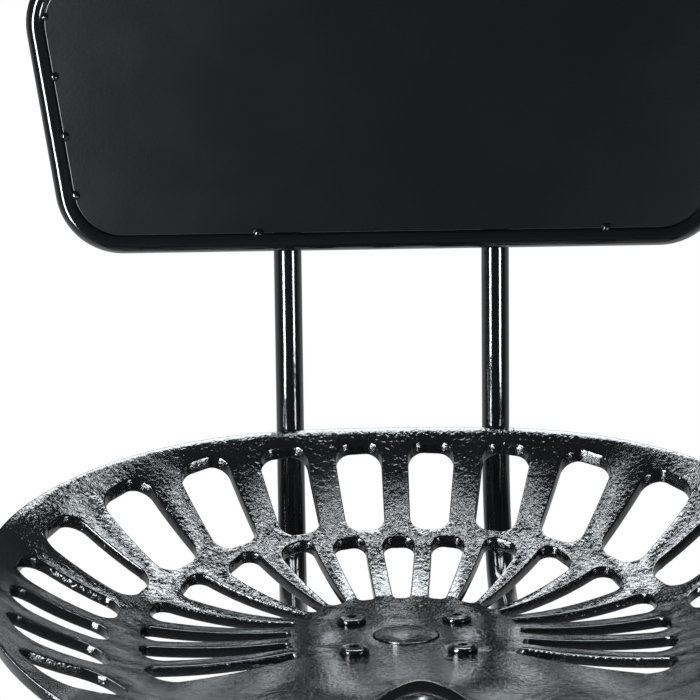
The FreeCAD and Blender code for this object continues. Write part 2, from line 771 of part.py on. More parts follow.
hub = revolved("hub_body", [
    ("column_diameter / 2", "hub_foot"),
    ("hub_diameter / 2", "hub_foot"),
    ("hub_diameter / 2", "hub_foot + hub_lip"),
    ("hub_top_diameter / 2", "column_top"),
    ("column_diameter / 2", "column_top"),
])
sockets = []
for name, heading in LEGS:
    socket = cylinder("leg_diameter / 2 + leg_socket_gap", "leg_length")
    lean_out(socket, heading, "leg_foot_run", "leg_foot_level")
    sockets.append(socket)
finish(cut(hub, fuse(sockets)), "leg_hub")

for name, heading in LEGS:
    tube = cylinder("leg_diameter / 2", "leg_length")
    bore = cylinder("leg_diameter / 2 - leg_wall", "leg_length")
    leg = cut(tube, bore)
    lean_out(leg, heading, "leg_foot_run", "leg_foot_level")
    finish(leg, "leg_" + name)
    rubber = cylinder("leg_diameter / 2 + glide_wall", "glide_height + leg_diameter", z="0 - leg_diameter")
    inside = cylinder("leg_diameter / 2", "glide_height * 2")
    boot = cut(rubber, inside)
    lean_out(boot, heading, "leg_foot_run", "leg_foot_level")
    floor = box("leg_diameter * 6", "leg_diameter * 6", "leg_diameter * 3")
    place(floor, "leg_foot_run * cos(%s * 1deg) - leg_diameter * 3" % heading,
          "leg_foot_run * sin(%s * 1deg) - leg_diameter * 3" % heading, "0 - leg_diameter * 3")
    finish(cut(boot, floor), "glide_" + name)


# Foot ring and its welds to the legs

def ring():
    hoop = doc.addObject("Part::Torus", "hoop")
    bind(hoop, Radius1="ring_radius", Radius2="ring_bar / 2")
    place(hoop, z="ring_level")
    return hoop


finish(ring(), "foot_ring")
welds = []
for name, heading in LEGS:
    touch = "ring_radius - ring_bar / 2 * cos(leg_lean * 1deg)"
    blob = ball("weld_leg + 3", "(%s) * cos(%s * 1deg)" % (touch, heading),
                "(%s) * sin(%s * 1deg)" % (touch, heading),
                "ring_level - ring_bar / 2 * sin(leg_lean * 1deg)")
    shaft = cylinder("leg_diameter / 2", "leg_length")
    lean_out(shaft, heading, "leg_foot_run", "leg_foot_level")
    welds.append(cut(blob, fuse([ring(), shaft])))
finish(group(welds), "foot_ring_welds")


# Backrest posts: bent tubes from under the seat to the top of the backrest

def bent_bar(radius, bend, sweep, turned):
    """Bend of a round bar: part of a ring, turned into its place."""
    arc = doc.addObject("Part::Torus", "bend")
    bind(arc, Radius1=bend, Radius2=radius, Angle3=sweep)
    arc.Placement.Rotation = turned
    return arc


def post_rod(radius, x):
    """Up the back, round the bend and forward under the seat."""
    bend_y, bend_z = "post_y - post_bend", "post_run_level + post_bend"
    back = cylinder(radius, "backrest_top - (%s)" % bend_z, x, "post_y", bend_z)
    bend = bent_bar(radius, "post_bend", "90", FreeCAD.Rotation(Vector(0, 1, 0), 90))
    place(bend, x, bend_y, bend_z)
    run = cylinder(radius, bend_y + " - (post_end_y)", x, "post_end_y", "post_run_level")
    run.Placement.Rotation = FreeCAD.Rotation(Vector(1, 0, 0), -90)
    return fuse([back, bend, run])


def post(x):
    return cut(post_rod("post_diameter / 2", x), post_rod("post_diameter / 2 - post_wall", x))


finish(post("0 - post_x"), "backrest_post_left")
finish(post("post_x"), "backrest_post_right")


# Plugs in both ends of each post

def plug(profile_name):
    return revolved(profile_name, [
        ("0", "0 - plug_depth"),
        ("post_diameter / 2 - post_wall", "0 - plug_depth"),
        ("post_diameter / 2 - post_wall", "0"),
        ("post_diameter / 2", "0"),
        ("post_diameter / 2", "plug_head - 1"),
        ("post_diameter / 2 - 1", "plug_head"),
        ("0", "plug_head"),
    ])


plugs = []
for name, x in (("left", "0 - post_x"), ("right", "post_x")):
    upper = plug("top_plug_" + name)
    place(upper, x, "post_y", "backrest_top")
    front = plug("front_plug_" + name)
    front.Placement.Rotation = FreeCAD.Rotation(Vector(1, 0, 0), 90)
    place(front, x, "post_end_y", "post_run_level")
    plugs += [upper, front]
finish(group(plugs), "post_plugs")


# Backrest frame and panel

def backrest_outline(sketch, radius):
    left_foot, left_top = "0 - corner_foot_x", "0 - corner_top_x"
    rounded(sketch, [
        (left_foot, "corner_foot_z"),
        ("corner_foot_x", "corner_foot_z"),
        ("corner_top_x", "corner_top_z"),
        (left_top, "corner_top_z"),
    ], radius)


def level_bar(half, level):
    """Straight bar across the backrest."""
    bar = cylinder("backrest_bar / 2", "2 * " + half, "0 - " + half, "backrest_y", level)
    bar.Placement.Rotation = FreeCAD.Rotation(Vector(0, 1, 0), 90)
    return bar


def side_bar(side):
    """Straight bar up a leaning side of the backrest."""
    lean = "backrest_taper * 1deg"
    reach = "(backrest_corner - backrest_bar / 2)"
    length = "(corner_top_z - corner_foot_z) / cos(%s)" % lean
    x = side + "(corner_foot_x + %s * cos(%s))" % (reach, lean)
    bar = cylinder("backrest_bar / 2", length, x, "backrest_y", "corner_foot_z - %s * sin(%s)" % (reach, lean))
    taper = size("backrest_taper") if side == "" else -size("backrest_taper")
    bar.Placement.Rotation = FreeCAD.Rotation(Vector(0, 1, 0), taper)
    return bar


def corner_bar(x, z, first, sweep):
    """Bent corner of the backrest's frame, from an angle above the right."""
    turned = FreeCAD.Rotation(Vector(1, 0, 0), 90).multiply(FreeCAD.Rotation(Vector(0, 0, 1), first))
    bar = bent_bar("backrest_bar / 2", "backrest_corner - backrest_bar / 2", sweep, turned)
    place(bar, x, "backrest_y", z)
    return bar


taper = size("backrest_taper")
frame = fuse([
    level_bar("corner_foot_x", "backrest_foot + backrest_bar / 2"),
    corner_bar("corner_foot_x", "corner_foot_z", -90, "90 - backrest_taper"),
    side_bar(""),
    corner_bar("corner_top_x", "corner_top_z", -taper, "90 + backrest_taper"),
    level_bar("corner_top_x", "backrest_top - backrest_bar / 2"),
    corner_bar("0 - corner_top_x", "corner_top_z", 90, "90 + backrest_taper"),
    side_bar("0 - "),
    corner_bar("0 - corner_foot_x", "corner_foot_z", 180 + taper, "90 - backrest_taper"),
])
finish(frame, "backrest_frame")

panel = new_body("panel_body")
outline = sketch_on(panel, "XZ_Plane")
backrest_outline(outline, "backrest_corner - backrest_bar - panel_gap")
pad(panel, outline, "panel_thickness", True)
place(panel, y="backrest_y")
finish(panel, "backrest_panel")


# Tack welds between the frame and the panel, along the sides, the foot and the top

def tack_places():
    spots = []
    lean = "tan(backrest_taper * 1deg)"
    reach = "(backrest_corner - backrest_bar) / cos(backrest_taper * 1deg)"
    for side in ("", "0 - "):
        for index in range(4):
            rise = "(tack_pitch * %d - backrest_corner)" % (index + 1)
            spots.append((side + "(corner_foot_x + %s * %s + %s)" % (rise, lean, reach),
                          "corner_foot_z + " + rise))
    for level in ("backrest_foot + backrest_bar", "backrest_top - backrest_bar"):
        for x in ("tack_spread", "tack_offset - tack_spread + backrest_corner / 2"):
            spots.append((x, level))
    return spots


tacks = []
for x, z in tack_places():
    blob = ball("tack_size / 2 + 0.6", x, "backrest_y - panel_thickness / 2", z)
    tacks.append(cut(blob, fuse([frame, panel])))
finish(group(tacks), "panel_tack_welds")


# Welds of the posts to the backrest frame and of the posts to the mounting plate

beads = []
for x in ("0 - post_x", "post_x"):
    shaft = cylinder("post_diameter / 2", "backrest_height + 2 * post_bend", x, "post_y", "backrest_foot - post_bend")
    for level in ("backrest_foot + backrest_bar / 2", "backrest_top - backrest_bar / 2"):
        blob = ball("weld_leg + 0.6", x, "backrest_y + backrest_bar / 2", level)
        beads.append(cut(blob, fuse([shaft, frame])))
finish(group(beads), "post_to_frame_welds")
beads = []
for side in (-1, 1):
    length = "plate_depth - 2 * plate_corner"
    start = "plate_corner - plate_depth / 2"
    middle = "%d * post_x" % side if side > 0 else "0 - post_x"
    inner = "post_x - post_diameter / 2 - weld_leg" if side > 0 else "0 - post_x"
    bead = box("post_diameter / 2 + weld_leg", length, "weld_leg", inner, start, "plate_underside - weld_leg")
    run = cylinder("post_diameter / 2", length, middle, start, "post_run_level")
    run.Placement.Rotation = FreeCAD.Rotation(Vector(1, 0, 0), -90)
    beads.append(cut(bead, run))
finish(group(beads), "post_to_plate_welds")


doc.recompute()
for thing in doc.Objects:
    if "Invalid" in thing.State or "Error" in thing.State:
        raise RuntimeError("%s (%s) failed: %s" % (thing.Name, thing.Label, thing.State))
os.makedirs("parts", exist_ok=True)
for label, thing in parts:
    shape = thing.Shape
    if shape.isNull() or not shape.isValid() or not shape.Solids:
        raise RuntimeError(label + " has no valid solid")
    shape.exportStep("parts/" + label + ".step")
    print(label, len(shape.Solids), round(shape.Volume), shape.BoundBox)
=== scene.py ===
import json
import math
import bmesh
import bpy
from bpy.props import FloatProperty, FloatVectorProperty, IntProperty, PointerProperty
from mathutils import Euler, Matrix, Vector


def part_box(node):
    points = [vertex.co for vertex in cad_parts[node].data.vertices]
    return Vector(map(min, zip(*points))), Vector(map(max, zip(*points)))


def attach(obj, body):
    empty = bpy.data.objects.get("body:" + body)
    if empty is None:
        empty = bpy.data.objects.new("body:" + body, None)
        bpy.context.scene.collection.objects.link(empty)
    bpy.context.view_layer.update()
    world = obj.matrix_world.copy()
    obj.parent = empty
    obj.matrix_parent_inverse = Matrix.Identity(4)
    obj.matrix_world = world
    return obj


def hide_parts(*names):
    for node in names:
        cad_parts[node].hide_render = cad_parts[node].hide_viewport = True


bl_info = {
    "name": "Tractor Seat Stool",
    "version": (1, 0, 0),
    "blender": (4, 5, 0),
    "location": "View3D > Sidebar > Stool",
    "description": "Dresses a swivel stool with a cast tractor seat and a sheet backrest",
    "category": "Object",
}

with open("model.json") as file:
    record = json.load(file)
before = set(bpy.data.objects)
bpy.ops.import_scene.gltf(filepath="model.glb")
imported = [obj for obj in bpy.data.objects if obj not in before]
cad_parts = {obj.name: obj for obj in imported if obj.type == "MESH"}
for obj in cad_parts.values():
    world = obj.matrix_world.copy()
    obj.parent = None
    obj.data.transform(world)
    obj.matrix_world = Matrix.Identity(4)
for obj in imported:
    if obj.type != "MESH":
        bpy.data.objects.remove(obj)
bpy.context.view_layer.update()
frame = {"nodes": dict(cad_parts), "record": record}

# Lengths are in metres. Corners closer together than this are one corner.
SAME_CORNER = 0.000002

# Widths of the eased edges on turned parts
FINE_EDGE = 0.0003
TURNED_EDGE = 0.0006
CHAMFER = 0.0008

# A noise texture's values lie mostly between these
NOISE_LOW = 0.35
NOISE_HIGH = 0.65

# Each group of welds with the body that carries it
WELDS = {
    "panel_tack_welds": "seat",
    "post_to_frame_welds": "seat",
    "post_to_plate_welds": "seat",
    "foot_ring_welds": "base",
}


# Settings

class CastingSettings(bpy.types.PropertyGroup):
    edge: FloatProperty(name="Edge", description="How far the seat's sharp edges are rounded off",
                        default=0.0008, unit="LENGTH")
    edge_rounds: IntProperty(name="Edge rounds", description="Steps in a rounded edge", default=3, min=1)
    edge_angle: FloatProperty(name="Edge angle", description="Edges that turn more than this are rounded off",
                              default=math.radians(40), subtype="ANGLE")
    smooth_angle: FloatProperty(name="Smooth angle", description="Edges that turn less than this look smooth",
                                default=math.radians(60), subtype="ANGLE")


class FinishSettings(bpy.types.PropertyGroup):
    enamel: FloatVectorProperty(name="Enamel", description="Colour of the black enamel",
                                default=(0.0026, 0.0029, 0.0034), subtype="COLOR", size=3)
    panel: FloatVectorProperty(name="Panel", description="Colour of the backrest panel's powder coat",
                               default=(0.0028, 0.0030, 0.0035), subtype="COLOR", size=3)
    rubber: FloatVectorProperty(name="Rubber", description="Colour of the glides",
                                default=(0.018, 0.018, 0.018), subtype="COLOR", size=3)


class HardwareSettings(bpy.types.PropertyGroup):
    thread_pitch: FloatProperty(name="Thread pitch", description="Rise of the spindle in one turn",
                                default=0.006, unit="LENGTH")
    thread_depth: FloatProperty(name="Thread depth", description="Depth of the spindle's trapezoid thread",
                                default=0.0030, unit="LENGTH")
    thread_end: FloatProperty(name="Thread end", description="Plain length between thread and seat plate",
                              default=0.010, unit="LENGTH")
    shoulder: FloatProperty(name="Shoulder", description="Guide bush to the spindle's shoulder above it",
                            default=0.001, unit="LENGTH")
    journal: FloatProperty(name="Journal", description="Diameter of the spindle inside the guide bush",
                           default=0.020, unit="LENGTH")
    collar: FloatProperty(name="Collar", description="Height of the spindle's collar under the plate",
                          default=0.004, unit="LENGTH")
    bolt_spacing: FloatProperty(name="Bolt spacing", description="Distance between the seat bolts",
                                default=0.054, unit="LENGTH")
    bolt_shank: FloatProperty(name="Bolt shank", description="Diameter of a seat bolt",
                              default=0.008, unit="LENGTH")
    bolt_head: FloatProperty(name="Bolt head", description="Diameter of a seat bolt's low round head",
                             default=0.015, unit="LENGTH")
    bolt_head_height: FloatProperty(name="Bolt head height", description="Height of a seat bolt's head",
                                    default=0.0026, unit="LENGTH")
    bolt_dome: FloatProperty(name="Bolt dome", description="Width of the round edge on a bolt's head",
                             default=0.0019, unit="LENGTH")
    bolt_socket: FloatProperty(name="Bolt socket", description="Hexagon socket across flats",
                               default=0.005, unit="LENGTH")
    socket_depth: FloatProperty(name="Socket depth", description="Depth of the hexagon socket",
                                default=0.0020, unit="LENGTH")
    bead_grain: FloatProperty(name="Bead grain", description="Mesh size that the weld beads are smoothed on",
                              default=0.0005, unit="LENGTH")
    bead_ripple: FloatProperty(name="Bead ripple", description="How uneven the weld beads are",
                               default=0.0007, unit="LENGTH")
    ripple_size: FloatProperty(name="Ripple size", description="Size of the bumps on the weld beads",
                               default=0.003, unit="LENGTH")
    ripple_level: FloatProperty(name="Ripple level", description="Ripple value at which a bead keeps its size",
                                default=0.35)


class StageSettings(bpy.types.PropertyGroup):
    floor_radius: FloatProperty(name="Floor radius", description="Radius of the pale floor",
                                default=30.0, unit="LENGTH")
    left_power: FloatProperty(name="Left strip power", description="Power of the tall strip on the left",
                              default=11.0, unit="POWER")
    right_power: FloatProperty(name="Right strip power", description="Power of the short strip on the right",
                               default=2.2, unit="POWER")
    overhead_power: FloatProperty(name="Overhead power", description="Power of the lamp above and behind",
                                  default=60.0, unit="POWER")
    lamp_colour: FloatVectorProperty(name="Lamp colour", description="Colour of the three lamps",
                                     default=(0.90, 0.96, 1.0), subtype="COLOR", size=3)
    fill: FloatProperty(name="Fill", description="Strength of the plain light from all sides", default=0.20)
    white_share: FloatProperty(name="White share", description="How much of the white ground a gloss shows",
                               default=0.4)
    room: FloatProperty(name="Room", description="Strength of the dim room that a gloss shows elsewhere",
                        default=0.045)
    lens: FloatProperty(name="Lens", description="Focal length of the camera, in millimetres", default=180.0)
    camera_place: FloatVectorProperty(name="Camera place", description="Where the camera stands",
                                      default=(-0.0638, -1.6992, 1.1156), subtype="TRANSLATION", size=3)
    camera_turn: FloatProperty(name="Camera turn", description="How far the camera looks to the right",
                               default=math.radians(1.25), subtype="ANGLE")
    camera_dip: FloatProperty(name="Camera dip", description="How far the camera looks down",
                              default=math.radians(11.582), subtype="ANGLE")
    camera_roll: FloatProperty(name="Camera roll", description="How far the camera leans to the side",
                               default=math.radians(-0.682), subtype="ANGLE")


class StoolSettings(bpy.types.PropertyGroup):
    casting: PointerProperty(type=CastingSettings)
    finishes: PointerProperty(type=FinishSettings)
    hardware: PointerProperty(type=HardwareSettings)
    stage: PointerProperty(type=StageSettings)


# Materials

def new_finish(name, colour, roughness, specular=0.5, metallic=0.0):
    """A material with its colour, roughness and shine on the shader's own sockets."""
    material = bpy.data.materials.new(name)
    material.use_nodes = True
    shader = material.node_tree.nodes["Principled BSDF"]
    shader.inputs["Base Color"].default_value = (*colour, 1)
    shader.inputs["Roughness"].default_value = roughness
    shader.inputs["Specular IOR Level"].default_value = specular
    shader.inputs["Metallic"].default_value = metallic
    return material, shader


def add_node(material, kind, **values):
    """A shader node with values for its inputs and its own options."""
    node = material.node_tree.nodes.new(kind)
    for name, value in values.items():
        if name in node.inputs:
            node.inputs[name].default_value = value
        else:
            setattr(node, name, value)
    return node


def link(material, source, target):
    material.node_tree.links.new(source, target)


def pattern(material, kind, **values):
    """A procedural texture laid out in the piece's own coordinates, in metres."""
    places = add_node(material, "ShaderNodeTexCoord")
    texture = add_node(material, kind, **values)
    link(material, places.outputs["Object"], texture.inputs["Vector"])
    return texture


def noise(material, **values):
    return pattern(material, "ShaderNodeTexNoise", **values)


def relief(material, shader, textures, depths):
    """Stack bumps, each a texture with its depth in metres, coarse first."""
    normal = None
    for texture, depth in zip(textures, depths):
        bump = add_node(material, "ShaderNodeBump", Strength=1.0, Distance=depth)
        link(material, texture.outputs["Fac"], bump.inputs["Height"])
        if normal:
            link(material, normal, bump.inputs["Normal"])
        normal = bump.outputs["Normal"]
    link(material, normal, shader.inputs["Normal"])


def vary_roughness(material, shader, texture, low, high):
    """Let the roughness follow a texture between two values."""
    remap = add_node(material, "ShaderNodeMapRange")
    remap.inputs["From Min"].default_value = NOISE_LOW
    remap.inputs["From Max"].default_value = NOISE_HIGH
    remap.inputs["To Min"].default_value = low
    remap.inputs["To Max"].default_value = high
    link(material, texture.outputs["Fac"], remap.inputs["Value"])
    link(material, remap.outputs["Result"], shader.inputs["Roughness"])


def cast_enamel(colour):
    """Thick gloss enamel that flows over sand-cast iron: slow waves, a leathery grain and finer grit."""
    material, shader = new_finish("gloss enamel on cast iron", colour, roughness=0.10, specular=1.0)
    leather = noise(material, Scale=430.0, Detail=2.0, Roughness=0.5, Distortion=0.6)
    grit = noise(material, Scale=950.0, Detail=2.0, Roughness=0.6)
    waves = noise(material, Scale=75.0, Detail=2.0)
    clouds = noise(material, Scale=40.0, Detail=2.0)
    relief(material, shader, textures=(waves, leather, grit), depths=(0.0003, 0.00026, 0.00003))
    vary_roughness(material, shader, clouds, low=0.07, high=0.14)
    return material


def bar_enamel(colour):
    """Gloss enamel on drawn bar and tube, almost smooth."""
    material, shader = new_finish("gloss enamel on steel", colour, roughness=0.09, specular=0.8)
    peel = noise(material, Scale=150.0, Detail=1.0)
    dust = noise(material, Scale=900.0, Detail=2.0)
    relief(material, shader, textures=(peel, dust), depths=(0.00010, 0.00001))
    vary_roughness(material, shader, dust, low=0.07, high=0.12)
    return material


def panel_enamel(colour):
    """Semi-gloss powder coat with a fine orange peel."""
    material, shader = new_finish("semi-gloss powder coat", colour, roughness=0.24)
    peel = noise(material, Scale=500.0, Detail=2.0, Roughness=0.5)
    clouds = noise(material, Scale=30.0, Detail=2.0)
    relief(material, shader, textures=(peel,), depths=(0.00005,))
    vary_roughness(material, shader, clouds, low=0.23, high=0.25)
    return material


def machined_steel(name, colour, roughness):
    """Turned steel with fine rings round the spindle's axis."""
    material, shader = new_finish(name, colour, roughness, metallic=1.0)
    rings = pattern(material, "ShaderNodeTexWave", Scale=900.0, Distortion=1.5, Detail=2.0,
                    bands_direction="Z")
    stains = noise(material, Scale=120.0, Detail=4.0)
    relief(material, shader, textures=(rings,), depths=(0.00001,))
    vary_roughness(material, shader, stains, low=roughness * 0.8, high=roughness * 1.3)
    return material


def moulded(name, colour, roughness, grain_scale, grain_depth):
    """Moulded plastic or rubber with a fine matt grain."""
    material, shader = new_finish(name, colour, roughness)
    grain = noise(material, Scale=grain_scale, Detail=3.0)
    relief(material, shader, textures=(grain,), depths=(grain_depth,))
    vary_roughness(material, shader, grain, low=roughness * 0.9, high=min(1.0, roughness * 1.15))
    return material


finishes = {}


class STOOL_OT_finishes(bpy.types.Operator):
    """Make the stool's materials"""
    bl_idname = "stool.finishes"
    bl_label = "Finishes"

    def execute(self, context):
        colours = context.scene.stool.finishes
        finishes["cast_enamel"] = cast_enamel(colours.enamel)
        finishes["black_enamel"] = bar_enamel(colours.enamel)
        finishes["panel_enamel"] = panel_enamel(colours.panel)
        finishes["bright_steel"] = machined_steel("oiled machined steel", colour=(0.42, 0.42, 0.43),
                                                  roughness=0.28)
        finishes["zinc_steel"] = machined_steel("zinc-plated steel", colour=(0.55, 0.56, 0.58),
                                                roughness=0.34)
        finishes["nylon"] = moulded("natural nylon", colour=(0.78, 0.77, 0.71),
                                    roughness=0.42, grain_scale=500.0, grain_depth=0.00004)
        finishes["black_plastic"] = moulded("black polyethylene", colour=(0.012, 0.012, 0.012),
                                            roughness=0.38, grain_scale=600.0, grain_depth=0.00005)
        finishes["rubber"] = moulded("black rubber", colour=colours.rubber,
                                     roughness=0.62, grain_scale=800.0, grain_depth=0.00008)
        return {"FINISHED"}


# Shared steps

def alone(thing):
    """Select one piece and make it active."""
    bpy.ops.object.select_all(action="DESELECT")
    thing.select_set(True)
    bpy.context.view_layer.objects.active = thing


def in_edit(piece):
    """Open one piece in edit mode."""
    alone(piece)
    bpy.ops.object.mode_set(mode="EDIT")


def copy_node(node, name):
    """A copy of a CAD node with its loose triangles merged."""
    alone(frame["nodes"][node])
    bpy.ops.object.duplicate()
    piece = bpy.context.active_object
    piece.parent = None
    for key in [key for key in piece.keys() if key.startswith("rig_")]:
        del piece[key]
    piece.name = piece.data.name = name
    in_edit(piece)
    bpy.ops.mesh.select_all(action="SELECT")
    bpy.ops.mesh.remove_doubles(threshold=SAME_CORNER)
    bpy.ops.object.mode_set(mode="OBJECT")
    bpy.ops.mesh.customdata_custom_splitnormals_clear()
    return piece


def pick_edges(piece, chosen):
    """Select the edges that pass a test, in edit mode."""
    bpy.ops.mesh.select_mode(type="EDGE")
    bpy.ops.mesh.select_all(action="DESELECT")
    mesh = bmesh.from_edit_mesh(piece.data)
    for edge in mesh.edges:
        if chosen(edge):
            edge.select_set(True)
    mesh.select_flush_mode()
    bmesh.update_edit_mesh(piece.data)


def rod(name, radius, foot, top, sides, x=0.0, y=0.0):
    """Upright round bar, to be shaped further."""
    bpy.ops.object.select_all(action="DESELECT")
    bpy.ops.mesh.primitive_cylinder_add(vertices=sides, radius=radius, depth=top - foot,
                                        location=(x, y, (top + foot) / 2))
    piece = bpy.context.active_object
    piece.name = piece.data.name = name
    bpy.ops.object.transform_apply(location=True, rotation=True, scale=True)
    return piece


def at_height(height, slack=0.00001):
    """Test for an edge that lies level at a height."""
    return lambda edge: all(abs(corner.co.z - height) < slack for corner in edge.verts)


def ease_rim(piece, height, width, rounds):
    """Round off the edges that lie at a height, in so many steps."""
    in_edit(piece)
    pick_edges(piece, at_height(height))
    bpy.ops.mesh.bevel(offset=width, segments=rounds, affect="EDGES")
    bpy.ops.object.mode_set(mode="OBJECT")


def join(pieces, name):
    """Join pieces into the first of them."""
    bpy.ops.object.select_all(action="DESELECT")
    for piece in pieces:
        piece.select_set(True)
    bpy.context.view_layer.objects.active = pieces[0]
    bpy.ops.object.join()
    pieces[0].name = pieces[0].data.name = name
    return pieces[0]


def copy_to(piece, x, y):
    """A second piece like the first, moved sideways."""
    alone(piece)
    bpy.ops.object.duplicate()
    twin = bpy.context.active_object
    bpy.ops.transform.translate(value=(x, y, 0))
    bpy.ops.object.transform_apply(location=True, rotation=True, scale=True)
    return twin


def apply_modifier(piece, kind, **values):
    """Add a modifier with its values and apply it."""
    modifier = piece.modifiers.new(kind.lower(), kind)
    for name, value in values.items():
        setattr(modifier, name, value)
    alone(piece)
    bpy.ops.object.modifier_apply(modifier=modifier.name)


def settle(piece, body, slot, *nodes):
    """Give a finished piece its place in its mesh, its finish and its body, and hide the nodes it stands for.
    """
    alone(piece)
    bpy.ops.object.transform_apply(location=True, rotation=True, scale=True)
    piece.data.materials.clear()
    piece.data.materials.append(finishes[slot])
    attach(piece, body)
    if nodes:
        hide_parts(*nodes)


def smooth(piece, angle=math.radians(35)):
    """Shade a piece smooth, apart from edges that turn more than an angle."""
    alone(piece)
    bpy.ops.object.shade_smooth_by_angle(angle=angle)


# Pieces

class STOOL_OT_seat(bpy.types.Operator):
    """Round off the edges of the pierced seat and its slots"""
    bl_idname = "stool.seat"
    bl_label = "Seat casting"

    def execute(self, context):
        look = context.scene.stool.casting
        seat = copy_node("seat_casting", "cast_seat")
        apply_modifier(seat, "BEVEL", width=look.edge, segments=look.edge_rounds, limit_method="ANGLE",
                       angle_limit=look.edge_angle, use_clamp_overlap=False)
        smooth(seat, look.smooth_angle)
        settle(seat, "seat", "cast_enamel", "seat_casting")
        return {"FINISHED"}


def round_bolt(look, x, y):
    """Low domed head with a hexagon socket over a shank that ends in a chamfer."""
    lowest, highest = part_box("seat_bolts")
    top = highest[2]
    brim = top - look.bolt_head_height
    head = rod("bolt_head", look.bolt_head / 2, brim, top, sides=48, x=x, y=y)
    ease_rim(head, top, look.bolt_dome, rounds=5)
    ease_rim(head, brim, FINE_EDGE, rounds=2)
    socket_corner = look.bolt_socket / math.sqrt(3)
    socket = rod("socket", socket_corner, top - look.socket_depth, top + look.socket_depth, sides=6, x=x, y=y)
    apply_modifier(head, "BOOLEAN", object=socket, operation="DIFFERENCE", solver="EXACT")
    bpy.data.objects.remove(socket)
    shank = rod("bolt_shank", look.bolt_shank / 2, lowest[2], brim + FINE_EDGE, sides=32, x=x, y=y)
    ease_rim(shank, lowest[2], CHAMFER, rounds=1)
    return join([head, shank], "round_bolt")


class STOOL_OT_bolts(bpy.types.Operator):
    """Make the four seat bolts"""
    bl_idname = "stool.bolts"
    bl_label = "Seat bolts"

    def execute(self, context):
        look = context.scene.stool.hardware
        half = look.bolt_spacing / 2
        first = round_bolt(look, -half, -half)
        bolts = [first]
        for x, y in ((1, 0), (0, 1), (1, 1)):
            bolts.append(copy_to(first, x * look.bolt_spacing, y * look.bolt_spacing))
        bolts = join(bolts, "round_bolts")
        smooth(bolts, math.radians(30))
        settle(bolts, "seat", "cast_enamel", "seat_bolts")
        return {"FINISHED"}


class STOOL_OT_spindle(bpy.types.Operator):
    """Cut the trapezoid thread on the spindle and paint its end in the seat"""
    bl_idname = "stool.spindle"
    bl_label = "Screw spindle"

    def execute(self, context):
        look = context.scene.stool.hardware
        lowest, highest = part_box("spindle")
        radius = highest[0]
        plate_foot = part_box("mounting_plate")[0][2]
        guide_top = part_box("guide_bush")[1][2]
        shoulder = guide_top + look.shoulder
        collar_foot = plate_foot - look.collar
        core = rod("spindle_core", radius - look.thread_depth, shoulder, plate_foot, sides=64)
        journal = rod("spindle_journal", look.journal / 2, lowest[2], shoulder, sides=64)
        ease_rim(journal, lowest[2], CHAMFER, rounds=2)
        collar = rod("spindle_collar", radius, collar_foot, plate_foot, sides=64)
        ease_rim(collar, collar_foot, TURNED_EDGE, rounds=2)
        turns = int((plate_foot - look.thread_end - guide_top) / look.thread_pitch)
        thread = self.ridge(radius, look.thread_pitch, look.thread_depth, shoulder, turns)
        screw = join([core, journal, collar, thread], "threaded_spindle")
        smooth(screw)
        settle(screw, "seat", "bright_steel", "spindle")
        end = rod("spindle_end", radius, plate_foot, highest[2], sides=64)
        ease_rim(end, highest[2], TURNED_EDGE, rounds=3)
        smooth(end)
        settle(end, "seat", "cast_enamel")
        return {"FINISHED"}

    def ridge(self, radius, pitch, depth, foot, turns):
        """Closed helical ridge with a trapezoid section."""
        bpy.ops.object.select_all(action="DESELECT")
        bpy.ops.mesh.primitive_plane_add(size=1, location=(0, 0, 0))
        ridge = bpy.context.active_object
        ridge.name = ridge.data.name = "spindle_thread"
        inside = radius - depth - FINE_EDGE
        # The section's corners, in the order of the plane's: reach from the axis and share of a pitch
        section = [(inside, 0.12), (radius, 0.32), (inside, 0.92), (radius, 0.68)]
        in_edit(ridge)
        mesh = bmesh.from_edit_mesh(ridge.data)
        for corner, (reach, share) in zip(mesh.verts, section):
            corner.co = Vector((reach, 0, foot + pitch * share))
        bmesh.update_edit_mesh(ridge.data)
        bpy.ops.mesh.delete(type="ONLY_FACE")
        bpy.ops.object.mode_set(mode="OBJECT")
        apply_modifier(ridge, "SCREW", axis="Z", angle=2 * math.pi, screw_offset=pitch, iterations=turns,
                       steps=40, render_steps=40, use_normal_calculate=True)
        in_edit(ridge)
        pick_edges(ridge, lambda edge: edge.is_boundary)
        bpy.ops.mesh.edge_face_add()
        bpy.ops.mesh.select_all(action="SELECT")
        bpy.ops.mesh.remove_doubles(threshold=SAME_CORNER)
        bpy.ops.mesh.normals_make_consistent(inside=False)
        bpy.ops.object.mode_set(mode="OBJECT")
        return ridge


class STOOL_OT_welds(bpy.types.Operator):
    """Turn the welds into uneven painted beads"""
    bl_idname = "stool.welds"
    bl_label = "Weld beads"

    def execute(self, context):
        look = context.scene.stool.hardware
        ripple = bpy.data.textures.new("bead ripple", "CLOUDS")
        ripple.noise_scale = look.ripple_size
        ripple.noise_depth = 1
        for node, body in WELDS.items():
            bead = copy_node(node, node + "_bead")
            apply_modifier(bead, "REMESH", mode="VOXEL", voxel_size=look.bead_grain, use_smooth_shade=True)
            apply_modifier(bead, "SMOOTH", factor=0.5, iterations=3)
            apply_modifier(bead, "DISPLACE", texture=ripple, texture_coords="LOCAL",
                           strength=look.bead_ripple, mid_level=look.ripple_level)
            alone(bead)
            bpy.ops.object.shade_smooth()
            settle(bead, body, "cast_enamel", node)
        return {"FINISHED"}


